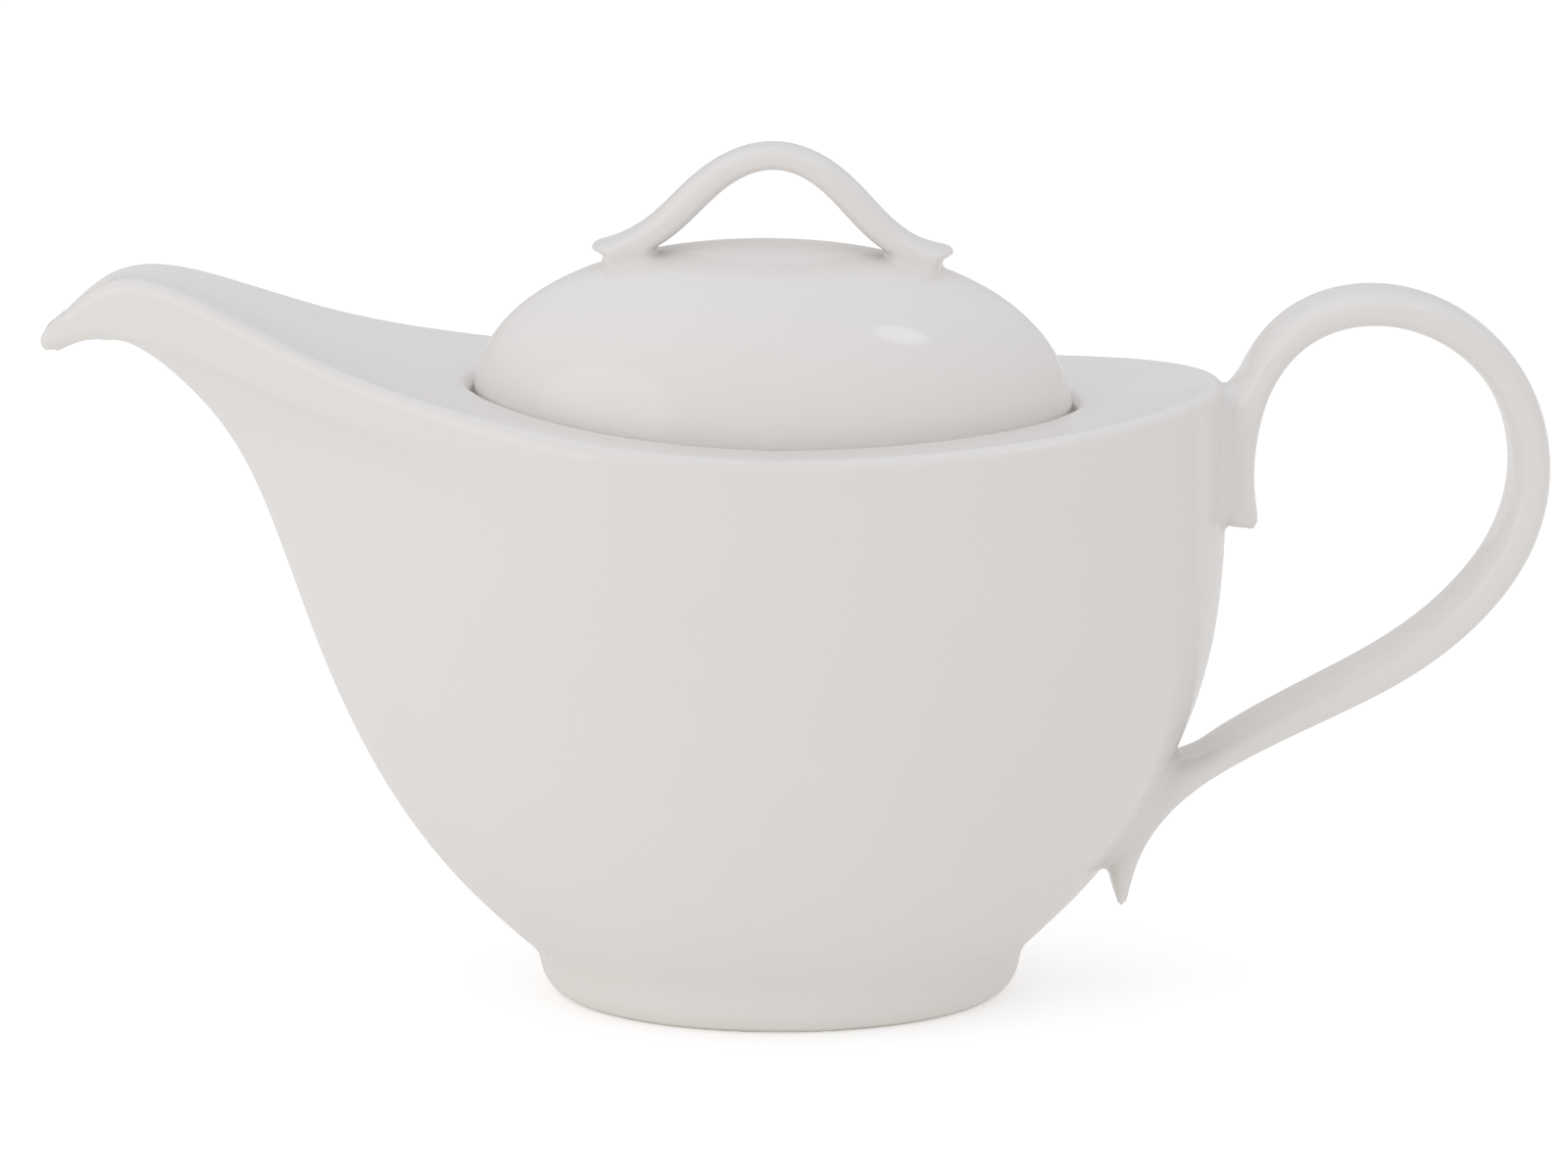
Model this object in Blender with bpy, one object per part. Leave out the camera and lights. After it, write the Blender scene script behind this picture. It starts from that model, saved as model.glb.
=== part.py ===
"""An oval porcelain teapot with a beak spout, a strap handle and a domed lid with a bow.

Metres, +Z up. X runs from the spout (-) to the handle (+), the foot stands on Z = 0, and the
model is shifted along X at the end so that its bounding box is centred on the origin.
"""

import math

import bpy
import numpy as np
from mathutils.bvhtree import BVHTree

MM = 0.001
GAP = 0.3  # between pieces that touch, mm

# Driving dimensions in millimetres, measured from the upright axis of the lid.
WALL = 4.0
RIM_DEPTH = 57.0  # half the width of the shoulder rim, across the pot
SPOUT_TIP = -133.3
HANDLE_END = 81.6  # where the rim ends on the handle's side
RIM_RISE = 1.9  # how the rim climbs from mid-length to the handle's end
EDGE_ROUND = 2.6  # rounding where the wall turns into the deck
DECK_DISH = 1.4  # how far the deck's middle lies below its rim
DECK_FLAT = 20.0  # half-width of the deck below which it is dished less
RIM_SHARE = 0.8  # the most of the last step of wall that the rounding takes up
FOOT = np.array([45.0, 36.8])  # half-axes of the foot ring's top
FOOT_SHIFT = 1.2  # of the foot ring's middle towards the handle
FOOT_HEIGHT = 8.6
FLOOR_UNDERSIDE = 4.6
FLOOR_TOP = 9.0  # of the bowl's floor, at its middle
FLOOR_SHARE = 0.06  # where the bowl's floor meets its wall, as a share of the levels
BASE_STEP = (0.74, 0.68)  # the base inside the foot ring, as shares of the foot's outline
THIN_FROM_TO = (-124.0, -98.0)  # where the wall thins towards the lip, along X
LEAST_WALL = (1.8, 3.4)  # before and after that
LIP_THINNING = 0.4  # by which share the inset of the cavity shrinks at the lip
LIP_FROM = -118.0  # beyond this X the wall under the channel needs no thickening
LIP_ROOF = 0.5  # depth of the cavity below the rim where it ends, in walls
LIP_SETBACK = 2.0  # how far the cavity ends short of the spout's tip, in walls
HUMP_START, HUMP_POWER = 0.45, 2.6  # how the spout's hump fades down the wall
OPENING = np.array([54.8, 40.2])  # half-axes of the lid opening
THROAT = np.array([50.4, 35.4])  # half-axes inside the lid's ledge
LEDGE_DEPTH = 4.2  # of the ledge below the deck
LEDGE_THICK = 4.0
JOINT_POINT = np.array([-70.0, 0.0, 118.0])  # on the plane where spout and body are luted
JOINT_NORMAL = np.array([-0.836, 0.0, 0.549])
STRAINER_SETBACK, STRAINER_THICK = 1.5, 3.0
STRAINER_HOLE = 2.1  # radius
STRAINER_PITCH = (7.4, 6.4)  # across the plate and down it
STRAINER_FIRST = 9.0  # from the joint's point down to the first row of holes
STRAINER_ROWS = (4, 5, 4, 3)  # holes in each row, from the top
MOUTH_POINT = np.array([-125.6, 0.0, 128.7])
MOUTH_NORMAL = np.array([-0.66, 0.0, 0.751])
MOUTH = (6.2, 3.5)  # half-axes along and across the beak
MOUTH_DEPTH = 4.4  # of the scoop that joins mouth and channel
LID_EDGE = np.array([54.2, 39.6])
LID_TOP = 138.8
LID_WALL = 3.4
DOME_POWER = 2.2  # superellipse exponent of the dome's profile
DOME_FROM = 0.1  # angle at which that profile starts at the dome's edge
CROWN_SHIFT = -2.0  # of the dome's crown towards the spout
COLLAR = np.array([48.8, 33.8])
COLLAR_WALL = 2.8
COLLAR_DROP = 15.0  # the collar's lower edge, below the deck
COLLAR_ROUND = 0.8  # of its lower edges
VENT = 1.8  # radius of the lid's steam hole
VENT_BEHIND = 17.0  # how far the steam hole is from the middle plane, behind the bow

GLAZE = (0.80, 0.79, 0.76)
GLAZE_ROUGHNESS = 0.12
BISQUE = (0.78, 0.75, 0.70)
BISQUE_ROUGHNESS = 0.75

# The wall's levels from foot to rim: keel X and Z, half-depth and its Z, handle end X and Z,
# taper of the spout's side in plan, and roundness of the spout's nose in plan.
LEVELS = np.array(
    [
        # keel x, keel z, depth, mid z, end x, end z, taper, nose
        (-44.0, 8.6, 36.5, 8.6, 45.8, 8.6, 0.50, 0.00),
        (-52.1, 16.0, 42.5, 16.0, 53.4, 16.0, 0.50, 0.00),
        (-62.6, 27.2, 49.2, 27.0, 62.8, 26.8, 0.52, 0.00),
        (-73.7, 43.9, 54.4, 44.0, 73.2, 44.2, 0.56, 0.01),
        (-84.0, 67.1, 57.4, 64.0, 80.2, 65.4, 0.66, 0.04),
        (-93.9, 94.5, 58.2, 84.0, 82.2, 85.5, 0.86, 0.10),
        (-105.0, 111.5, 57.9, 95.5, 82.3, 97.5, 1.12, 0.15),
        (-119.5, 121.3, 57.6, 101.4, 82.1, 104.4, 1.32, 0.14),
        (-130.6, 118.4, 57.3, 105.0, 81.9, 108.8, 1.44, 0.15),
        (SPOUT_TIP, 119.8, RIM_DEPTH, 108.9, HANDLE_END, 114.0, 1.50, 0.15),
    ]
)

# The rim seen from the side, as X and Z from mid-length to the spout's tip.
RIM_SIDE = np.array(
    [
        (0.0, 108.9),
        (-28.0, 110.7),
        (-56.0, 115.2),
        (-82.0, 122.3),
        (-100.0, 129.6),
        (-112.0, 133.2),
        (-121.0, 131.8),
        (-127.0, 127.6),
        (-131.5, 123.3),
        (SPOUT_TIP, 119.8),
    ]
)

# Middle line of the strap handle from its upper end to its tail, as X and Z.
HANDLE_LINE = np.array(
    [
        (85.8, 86.9),
        (84.6, 95.0),
        (84.9, 104.0),
        (87.6, 114.0),
        (95.0, 123.3),
        (108.2, 127.4),
        (121.9, 123.9),
        (132.1, 114.8),
        (137.3, 99.0),
        (134.6, 84.5),
        (127.2, 73.3),
        (116.1, 63.6),
        (100.0, 54.5),
        (84.0, 45.9),
        (72.8, 37.4),
        (66.4, 28.0),
        (63.6, 17.4),
    ]
)
HANDLE_WIDTH = (24.0, 20.0, 19.0, 20.0, 21.0)  # along the line, evenly spaced
HANDLE_THICK = (5.0, 6.4, 7.0, 6.1, 2.0)
# How each end of a strap is cut, in shares of its line: how deep it is hollowed between its
# corners (- where it is rounded instead, like a tongue), and how much shorter it is on its root's
# side (+ where that is left of the line).
HANDLE_CUTS = ((0.012, 0.013), (0.012, 0.0))
# Where a strap is rooted: its side (1 is left of its line, -1 right), from and to which share
# of the line, and how much deeper it reaches there.
HANDLE_ROOTS = ((1, -0.05, 0.13, 3.6), (-1, 0.85, 1.005, 3.0))

# Middle line of the lid's bow from foot to foot, as X and Z.
BOW_LINE = np.array(
    [
        (-33.1, 136.8),
        (-27.2, 138.1),
        (-20.5, 141.6),
        (-13.1, 148.4),
        (-6.5, 153.0),
        (0.5, 154.5),
        (7.4, 152.4),
        (13.8, 147.1),
        (20.0, 140.8),
        (25.8, 137.3),
        (33.0, 136.0),
    ]
)
BOW_WIDTH = (16.5, 14.0, 13.0, 14.0, 16.5)
BOW_THICK = (2.8, 5.4, 4.5, 5.4, 2.8)
BOW_CUTS = ((-0.025, -0.03), (-0.025, -0.03))
BOW_ROOTS = ((-1, -0.05, 0.15, 2.6), (-1, 0.85, 1.05, 2.6))
ROOT_FADE = 0.045  # share of the line over which a root fades out
STRAP_POWER = 3.2  # superellipse exponent of both straps' section


def smooth_line(points, at):
    """A natural cubic spline through points, read at shares of its length from 0 to 1."""
    points = np.asarray(points, float)
    knots = np.concatenate([[0.0], np.cumsum(np.linalg.norm(np.diff(points, axis=0), axis=1))])
    return spline(knots / knots[-1], points, at)


def spline(knots, values, at):
    """Natural cubic spline of values over increasing knots."""
    values = np.asarray(values, float).reshape(len(knots), -1)
    step = np.diff(knots)
    count = len(knots)
    system = np.eye(count)
    right = np.zeros_like(values)
    for i in range(1, count - 1):
        system[i, i - 1 : i + 2] = step[i - 1], 2 * (step[i - 1] + step[i]), step[i]
        slopes = (values[i + 1] - values[i]) / step[i] - (values[i] - values[i - 1]) / step[i - 1]
        right[i] = 6 * slopes
    bend = np.linalg.solve(system, right)
    at = np.clip(np.atleast_1d(at), knots[0], knots[-1])
    i = np.clip(np.searchsorted(knots, at, side="right") - 1, 0, count - 2)
    h = step[i][:, None]
    a = ((knots[i + 1] - at) / step[i])[:, None]
    b = 1 - a
    curve = a * values[i] + b * values[i + 1]
    return curve + ((a**3 - a) * bend[i] + (b**3 - b) * bend[i + 1]) * h * h / 6


def rim_height(x):
    """Z of the rim over X, on both sides of mid-length."""
    x = np.asarray(x, float)
    side = RIM_SIDE[::-1]
    over_spout = spline(side[:, 0], side[:, 1], np.minimum(x, 0.0).ravel())[:, 0]
    share = np.clip(x.ravel() / HANDLE_END, 0, 1)
    mid, end = LEVELS[-1][3], LEVELS[-1][5]
    return np.where(x.ravel() < 0, over_spout, mid + (end - mid) * share**RIM_RISE).reshape(x.shape)


def keel_inset(line, shares, inset):
    """The keel moved into the wall, by less towards the spout's thin lip, where it ends short."""
    along = np.gradient(line, axis=0)
    along /= np.linalg.norm(along, axis=1)[:, None]
    inward = np.stack([along[:, 1], -along[:, 0]], axis=1)
    thin = 1 - LIP_THINNING * shares**4
    moved = line + inward * (inset * thin)[:, None]
    moved[:, 0] += max(inset, 0.0) * LIP_SETBACK * shares**10
    return moved


def row_half(level, keel, share, around, inset, tip):
    """Half of one level's loop, from the handle's end round to the spout's keel.

    tip is the X and Z of the keel at the rim.
    """
    _, _, depth, mid_z, end_x, end_z, taper, nose = level
    phi = np.linspace(0, math.pi / 2, around)
    drop = inset * share**6
    back = np.stack(
        [
            (end_x - inset) * np.cos(phi),
            (depth - inset) * np.sin(phi),
            mid_z + (end_z - mid_z) * np.cos(phi) ** RIM_RISE - drop,
        ],
        axis=1,
    )
    t = np.sin(np.linspace(0, math.pi / 2, 2 * around)[1:])
    plan = (1 - t**2) ** taper + nose * t**4 * np.sqrt(np.maximum(1 - t**8, 0))
    hump = max(0.0, (share - HUMP_START) / (1 - HUMP_START)) ** HUMP_POWER
    plain_rim = LEVELS[-1][3] + (tip[1] - LEVELS[-1][3]) * t**3
    height = mid_z + (keel[1] - mid_z) * t**3 + hump * (rim_height(t * tip[0]) - plain_rim)
    front = np.stack([t * keel[0], (depth - inset) * plan, height - drop * (1 - t**10)], axis=1)
    back[0, 1] = front[-1, 1] = 0.0
    return np.concatenate([back, front])


def wall_halves(shares, around, inset):
    """One half loop for each share of the way from the foot to the rim."""
    knots = np.linspace(0, 1, len(LEVELS))
    fine = np.linspace(0, 1, 181)
    keel = keel_inset(spline(knots, LEVELS[:, 0:2], fine), fine, inset)
    keel[-1, 1] = rim_height(keel[-1, 0]) - LIP_ROOF * max(inset, 0.0)
    levels = spline(knots, LEVELS, shares)
    keels = np.stack([np.interp(shares, fine, keel[:, k]) for k in (0, 1)], axis=1)
    return [row_half(*row, around, inset, keel[-1]) for row in zip(levels, keels, shares)]


def loop_of(half):
    """A closed loop from its half with Y >= 0: the half, then its mirror image running back."""
    return np.concatenate([half, half[-2:0:-1] * np.array([1.0, -1.0, 1.0])])


def band(lower, upper, count):
    """Quads between two loops of count points, which start at the indices lower and upper."""
    nexts = [(i + 1) % count for i in range(count)]
    return [(lower + i, lower + j, upper + j, upper + i) for i, j in enumerate(nexts)]


def rounded_rim(rim, below):
    """Half loops that round the corner between the wall and the deck, and end on the deck."""
    room = 0.5 * rim[:, 1] + 0.5
    reach = np.where(rim[:, 0] < 0, np.minimum(EDGE_ROUND, room), EDGE_ROUND)[:, None]
    down = below - rim
    height = np.linalg.norm(down, axis=1)[:, None]
    down *= np.minimum(reach / height, RIM_SHARE)
    along = np.gradient(rim[:, :2], axis=0)
    inward = np.stack([-along[:, 1], along[:, 0]], axis=1)
    inward[0] = -1, 0
    inward[-1] = 1, 0
    inward /= np.linalg.norm(inward, axis=1)[:, None]
    inner = rim + np.column_stack([inward * reach, np.zeros(len(rim))])
    inner[:, 1] = np.maximum(inner[:, 1], 0.0)
    inner[:, 2] += rim_height(inner[:, 0]) - rim_height(rim[:, 0])
    steps = np.linspace(0, 1, 5)
    return [(1 - s) ** 2 * (rim + down) + 2 * s * (1 - s) * rim + s**2 * inner for s in steps]


def deck_strips(half, first, points, across):
    """Points and faces of the deck, in strips across the pot between its rounded edges."""
    count = 2 * len(half) - 2
    far = [first + i for i in range(len(half))]
    near = [first] + [first + count - i for i in range(1, len(half) - 1)] + [far[-1]]
    lines = []
    for (x, y, z), a, b in zip(half, far, near):
        if a == b:
            lines.append([a] * (across + 1))
            continue
        line = [a]
        for k in range(1, across):
            share = 1 - 2 * k / across
            line.append(len(points))
            dish = DECK_DISH * (1 - share**2) * min(1.0, y / DECK_FLAT)
            points.append((x, y * share, z - dish))
        lines.append(line + [b])
    faces = []
    for this, after in zip(lines, lines[1:]):
        for k in range(across):
            corners = [this[k], after[k], after[k + 1], this[k + 1]]
            faces.append(tuple(dict.fromkeys(corners)))
    return faces


def oval(half_axes, z, count):
    """A level oval in the same order as a wall loop of count points."""
    turn = np.linspace(0, 2 * math.pi, count, endpoint=False)
    flat = np.full(count, z)
    return np.stack([half_axes[0] * np.cos(turn), half_axes[1] * np.sin(turn), flat], axis=1)


def pot_solid(name, inset=0.0, rows=17, around=11, across=8):
    """The pot's outer shape as one closed solid, or its cavity where inset is the wall."""
    first = FLOOR_SHARE if inset > 0 else 0.0
    last = 1 - 1 / (len(LEVELS) - 1)
    halves = wall_halves(np.append(np.linspace(first, last, rows), 1.0), around, inset)
    rim = halves.pop()
    halves += rounded_rim(rim, halves[-1])
    loops = [loop_of(half) for half in halves]
    count = len(loops[0])
    if inset <= 0:
        step = loops[0] * np.array([*BASE_STEP, 1.0])
        step[:, 0] += FOOT_SHIFT * (1 - BASE_STEP[0])
        sunk = step - np.array([0.0, 0.0, FOOT_HEIGHT - FLOOR_UNDERSIDE])
        loops = [sunk, step] + loops
    points = [tuple(p) for p in np.concatenate(loops)]
    faces = []
    for k in range(len(loops) - 1):
        faces += band(k * count, (k + 1) * count, count)
    faces += deck_strips(halves[-1], (len(loops) - 1) * count, points, across)
    centre = len(points)
    points.append((0.0, 0.0, FLOOR_TOP if inset > 0 else FLOOR_UNDERSIDE))
    faces += [((i + 1) % count, i, centre) for i in range(count)]
    return mesh_object(name, points, faces)


def cavity(name, inset=WALL):
    """The pot's inside, with its points moved inwards where the wall or deck would be too thin."""
    inside = pot_solid(name, inset)
    outside = pot_solid(name + "_limit")
    corners = [v.co for v in outside.data.vertices]
    tree = BVHTree.FromPolygons(corners, [p.vertices[:] for p in outside.data.polygons])
    for vertex in inside.data.vertices:
        x = vertex.co.x / MM
        least = MM * float(np.interp(x, THIN_FROM_TO, LEAST_WALL) + inset - WALL)
        place, normal, _, _ = tree.find_nearest(vertex.co)
        under_lip = x < LIP_FROM and normal.z < 0
        if (vertex.co - place).dot(normal) > -least and not under_lip:
            vertex.co = place - least * normal
    bpy.data.objects.remove(outside)
    return inside


def closed_faces(loops, ends):
    """Faces of a solid of loops of one count: capped by fans, or ending on its first loop."""
    count = len(loops[0])
    last = (len(loops) - 1) * count
    faces = []
    for k in range(len(loops) - 1):
        faces += band(k * count, (k + 1) * count, count)
    if ends == "ring":
        return faces + band(last, 0, count)
    middle = len(loops) * count
    faces += [((i + 1) % count, i, middle) for i in range(count)]
    return faces + [(last + i, last + (i + 1) % count, middle + 1) for i in range(count)]


def loop_solid(name, loops, ends="capped", middles=None):
    """A closed solid from loops of one count, with its faces turned outwards.

    middles are the middles of its two caps, if they aren't the means of the end loops.
    """
    points = np.concatenate(loops)
    if ends == "capped":
        if middles is None:
            middles = [np.mean(loops[0], axis=0), np.mean(loops[-1], axis=0)]
        points = np.concatenate([points, middles])
    faces = closed_faces(loops, ends)
    volume = 0.0
    for face in faces:
        for second, third in zip(face[1:], face[2:]):
            volume += np.dot(points[face[0]], np.cross(points[second], points[third]))
    if volume < 0:
        faces = [face[::-1] for face in faces]
    return mesh_object(name, points, faces)


def mesh_object(name, points, faces):
    """An object from points in millimetres."""
    mesh = bpy.data.meshes.new(name)
    mesh.from_pydata([tuple(MM * float(c) for c in p) for p in points], [], faces)
    mesh.update()
    thing = bpy.data.objects.new(name, mesh)
    bpy.context.scene.collection.objects.link(thing)
    return thing


def cutter(thing):
    """Marks an object as a cutting tool, so that it is no part of the model."""
    thing.hide_render = True
    thing.display_type = "WIRE"
    return thing


def boolean(thing, operation, other):
    """Adds an exact Boolean that subtracts, joins or intersects another solid."""
    modifier = thing.modifiers.new(operation.title(), "BOOLEAN")
    modifier.operation = operation
    modifier.object = cutter(other)
    modifier.solver = "EXACT"


def deck_height(x, y):
    """Z of the dished deck around the lid."""
    return rim_height(x) - DECK_DISH * (1 - (y / RIM_DEPTH) ** 2)


def deck_oval(half_axes, depth, count=64):
    """An oval that follows the deck at a depth below it."""
    line = oval(half_axes, 0.0, count)
    line[:, 2] = deck_height(line[:, 0], line[:, 1]) - depth
    return line


def block_beyond(name, point, normal, size=200.0, thick=200.0):
    """A block on the far side of a plane across the pot, seen along the plane's normal."""
    across = np.array([0.0, size, 0.0])
    up = np.cross(normal, across)
    square = [point + a * across + b * up for a, b in ((-1, -1), (1, -1), (1, 1), (-1, 1))]
    return loop_solid(name, [np.array(square), np.array(square) + thick * np.array(normal)])


def plane_oval(name, point, normal, half_axes, start, end, count=24):
    """A straight oval rod along a normal, from start to end."""
    normal = np.array(normal)
    across = np.array([0.0, 1.0, 0.0])
    up = np.cross(across, normal)
    turn = np.linspace(0, 2 * math.pi, count, endpoint=False)
    ring = np.outer(np.cos(turn) * half_axes[0], up) + np.outer(np.sin(turn) * half_axes[1], across)
    return loop_solid(name, [point + ring + start * normal, point + ring + end * normal])


def scoop(name, point, normal, half_axes, depth, reach, count=32, steps=6):
    """An oval rod along a normal, which reaches above the point and ends in a bowl below it."""
    normal = np.array(normal)
    across = np.array([0.0, 1.0, 0.0])
    up = np.cross(across, normal)
    turn = np.linspace(0, 2 * math.pi, count, endpoint=False)
    ring = np.outer(np.cos(turn) * half_axes[0], up) + np.outer(np.sin(turn) * half_axes[1], across)
    bowl = np.linspace(0.12, math.pi / 2, steps)
    loops = [point + ring * math.sin(a) - depth * math.cos(a) * normal for a in bowl]
    return loop_solid(name, [*loops, point + ring + reach * normal])


def root_depth(at, side, roots):
    """How much deeper the strap is on one side at shares of its line."""
    depth = np.zeros_like(at)
    for rooted_side, start, end, most in roots:
        share = np.clip(np.minimum(at - start, end - at) / ROOT_FADE, 0, 1)
        depth += np.where(side == rooted_side, most * share * share * (3 - 2 * share), 0.0)
    return depth


def strap(name, line, widths, thicks, cuts, roots, loops, around):
    """A strap swept along a line in the pot's middle plane, with its ends cut as cuts say."""
    places = np.linspace(0, 1, len(widths))
    turn = np.linspace(0, 2 * math.pi, around, endpoint=False)
    across = np.sign(np.cos(turn)) * np.abs(np.cos(turn)) ** (2 / STRAP_POWER)
    through = np.sign(np.sin(turn)) * np.abs(np.sin(turn)) ** (2 / STRAP_POWER)
    hollow = 1 - across**2
    start, end = (
        (notch * hollow if notch > 0 else abs(notch) * across**2)
        + abs(lean) * (1 + np.sign(lean) * through) / 2
        for notch, lean in cuts
    )
    rings = []
    for share in np.linspace(0, 1, loops):
        at = start + (1 - start - end) * share
        middle = smooth_line(line, at)
        ahead = smooth_line(line, np.minimum(at + 0.002, 1)) - smooth_line(line, at - 0.002)
        ahead /= np.linalg.norm(ahead, axis=1)[:, None]
        half_width = 0.5 * spline(places, widths, at)[:, 0] * across
        half_thick = 0.5 * spline(places, thicks, at)[:, 0]
        half_thick = (half_thick + root_depth(at, np.sign(through), roots)) * through
        x = middle[:, 0] - ahead[:, 1] * half_thick
        z = middle[:, 1] + ahead[:, 0] * half_thick
        rings.append(np.stack([x, half_width, z], axis=1))
    central = np.abs(across) < np.abs(across).min() + 0.01
    middles = [rings[0][central].mean(axis=0), rings[-1][central].mean(axis=0)]
    return loop_solid(name, rings, middles=middles)


def pot_body():
    """The hollow bowl and its deck, with the lid opening and the ledge that holds the lid."""
    body = pot_solid("pot_body")
    boolean(body, "DIFFERENCE", cavity("cut_cavity"))
    low = LEDGE_DEPTH + LEDGE_THICK
    ring = [
        deck_oval(THROAT - 2.0, low),
        deck_oval(OPENING + 4.0, low),
        deck_oval(OPENING + 5.0, low - 2.0),
        deck_oval(OPENING + 5.0, 2.0),
        deck_oval(THROAT - 2.0, 2.0),
    ]
    boolean(body, "UNION", loop_solid("join_ledge", ring, "ring"))
    seat = [
        deck_oval(THROAT, 30.0),
        deck_oval(THROAT, LEDGE_DEPTH),
        deck_oval(OPENING, LEDGE_DEPTH),
        deck_oval(OPENING, 1.0),
        deck_oval(OPENING + 0.3, 0.4),
        deck_oval(OPENING + 1.0, -0.3),
        deck_oval(OPENING + 1.0, -30.0),
    ]
    boolean(body, "DIFFERENCE", loop_solid("cut_lid_seat", seat))
    beyond = block_beyond("cut_body_joint", JOINT_POINT - 0.5 * GAP * JOINT_NORMAL, JOINT_NORMAL)
    boolean(body, "DIFFERENCE", beyond)
    return body


def spout():
    """The beak, which carries on the body's wall and deck, with its mouth on top of the tip."""
    beak = pot_solid("spout")
    boolean(beak, "DIFFERENCE", cavity("cut_channel"))
    behind = block_beyond("cut_spout_joint", JOINT_POINT + 0.5 * GAP * JOINT_NORMAL, -JOINT_NORMAL)
    boolean(beak, "DIFFERENCE", behind)
    mouth = scoop("cut_mouth", MOUTH_POINT, MOUTH_NORMAL, MOUTH, MOUTH_DEPTH, 20.0)
    boolean(beak, "DIFFERENCE", mouth)
    return beak


def spout_strainer():
    """The pierced wall across the spout's root, which holds back the leaves."""
    front = JOINT_POINT - STRAINER_SETBACK * JOINT_NORMAL
    plate = block_beyond("spout_strainer", front, -JOINT_NORMAL, 100.0, STRAINER_THICK)
    boolean(plate, "INTERSECT", cavity("fit_strainer", WALL + GAP))
    up = np.array([JOINT_NORMAL[2], 0.0, -JOINT_NORMAL[0]])
    for row, count in enumerate(STRAINER_ROWS):
        for k in range(count):
            hole = front - up * (STRAINER_FIRST + STRAINER_PITCH[1] * row)
            hole = hole + np.array([0.0, STRAINER_PITCH[0] * (k - (count - 1) / 2), 0.0])
            name = f"cut_hole_{row}_{k}"
            size = (STRAINER_HOLE, STRAINER_HOLE)
            boolean(plate, "DIFFERENCE", plane_oval(name, hole, JOINT_NORMAL, size, -9.0, 6.0, 14))
    return plate


def foot_ring():
    """The foot, turned with a rounded outer edge and a flat, narrow base."""
    profile = (
        # how far inside the outline, and Z
        (0.3, FOOT_HEIGHT - GAP),
        (0.8, 5.4),
        (1.3, 3.0),
        (2.0, 1.3),
        (3.2, 0.3),
        (4.8, 0.0),
        (9.0, 0.0),
        (10.2, 0.8),
        (10.7, FOOT_HEIGHT - GAP),
    )
    shift = np.array([FOOT_SHIFT, 0.0, 0.0])
    return loop_solid("foot_ring", [shift + oval(FOOT - d, z, 64) for d, z in profile], "ring")


def handle():
    """The strap handle, laid on the wall at its upper end and on the lower wall at its tail."""
    sizes = (HANDLE_WIDTH, HANDLE_THICK, HANDLE_CUTS, HANDLE_ROOTS)
    grip = strap("handle", HANDLE_LINE, *sizes, 72, 18)
    boolean(grip, "DIFFERENCE", pot_solid("cut_handle_seat", -GAP))
    return grip


def dome_loops(half_axes, top, depth, shares):
    """Ovals of a dome, from its edge at a depth below the deck up to its crown."""
    edge = deck_oval(half_axes, depth)
    loops = []
    start = math.sin(DOME_FROM) ** (2 / DOME_POWER)
    for angle in DOME_FROM + shares * (math.pi / 2 - DOME_FROM):
        reach = (max(math.cos(angle), 0.0) / math.cos(DOME_FROM)) ** (2 / DOME_POWER)
        rise = (math.sin(angle) ** (2 / DOME_POWER) - start) / (1 - start)
        loop = edge * np.array([reach, reach, 0.0])
        loop[:, 0] += CROWN_SHIFT * (1 - reach)
        loop[:, 2] = edge[:, 2] + (top - edge[:, 2]) * rise
        loops.append(loop)
    return loops


def dome_outside(grow=0.0):
    """The dome's outer loops, from its curled edge to near its crown."""
    shares = np.linspace(0, 1, 13)[:-1] ** 0.9
    shares = np.append(shares, 0.985)
    loops = dome_loops(LID_EDGE + grow, LID_TOP + grow, 0.2, shares)
    return [
        deck_oval(LID_EDGE - 1.6 + grow, LEDGE_DEPTH - GAP),
        deck_oval(LID_EDGE - 0.5 + grow, 2.6),
        deck_oval(LID_EDGE - 0.1 + grow, 1.4),
    ] + loops


def lid_dome():
    """The lid's hollow dome, whose edge curls under and rests on the ledge."""
    shares = np.append(np.linspace(0, 1, 10)[:-1], 0.98)
    inside = dome_loops(COLLAR - COLLAR_WALL, LID_TOP - LID_WALL, 1.0, shares)
    inside = [deck_oval(COLLAR - COLLAR_WALL, LEDGE_DEPTH - GAP)] + inside
    dome = loop_solid("lid_dome", dome_outside())
    boolean(dome, "DIFFERENCE", lowered("cut_dome", inside))
    up = np.array([0.0, 0.0, 1.0])
    top = np.array([0.0, VENT_BEHIND, LID_TOP])
    vent = plane_oval("cut_vent", top, up, (VENT, VENT), -15.0, 9.0, 20)
    boolean(dome, "DIFFERENCE", vent)
    return dome


def lowered(name, loops):
    """A cutter from loops, carried 10 mm below its first loop so that it cuts right through."""
    return loop_solid(name, [loops[0] - np.array([0.0, 0.0, 10.0])] + loops)


def lid_collar():
    """The collar under the lid that keeps it in the throat when the pot is tipped."""
    top = LEDGE_DEPTH
    inner = COLLAR - COLLAR_WALL
    loops = [
        deck_oval(COLLAR, top),
        deck_oval(inner, top),
        deck_oval(inner, COLLAR_DROP - COLLAR_ROUND),
        deck_oval(inner + COLLAR_ROUND, COLLAR_DROP),
        deck_oval(COLLAR - COLLAR_ROUND, COLLAR_DROP),
        deck_oval(COLLAR, COLLAR_DROP - COLLAR_ROUND),
    ]
    return loop_solid("lid_collar", loops, "ring")


def lid_bow():
    """The bow that the lid is lifted by, with its two feet laid on the dome."""
    bow = strap("lid_bow", BOW_LINE, BOW_WIDTH, BOW_THICK, BOW_CUTS, BOW_ROOTS, 40, 16)
    boolean(bow, "DIFFERENCE", loop_solid("cut_bow_seat", dome_outside(GAP)))
    return bow


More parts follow.
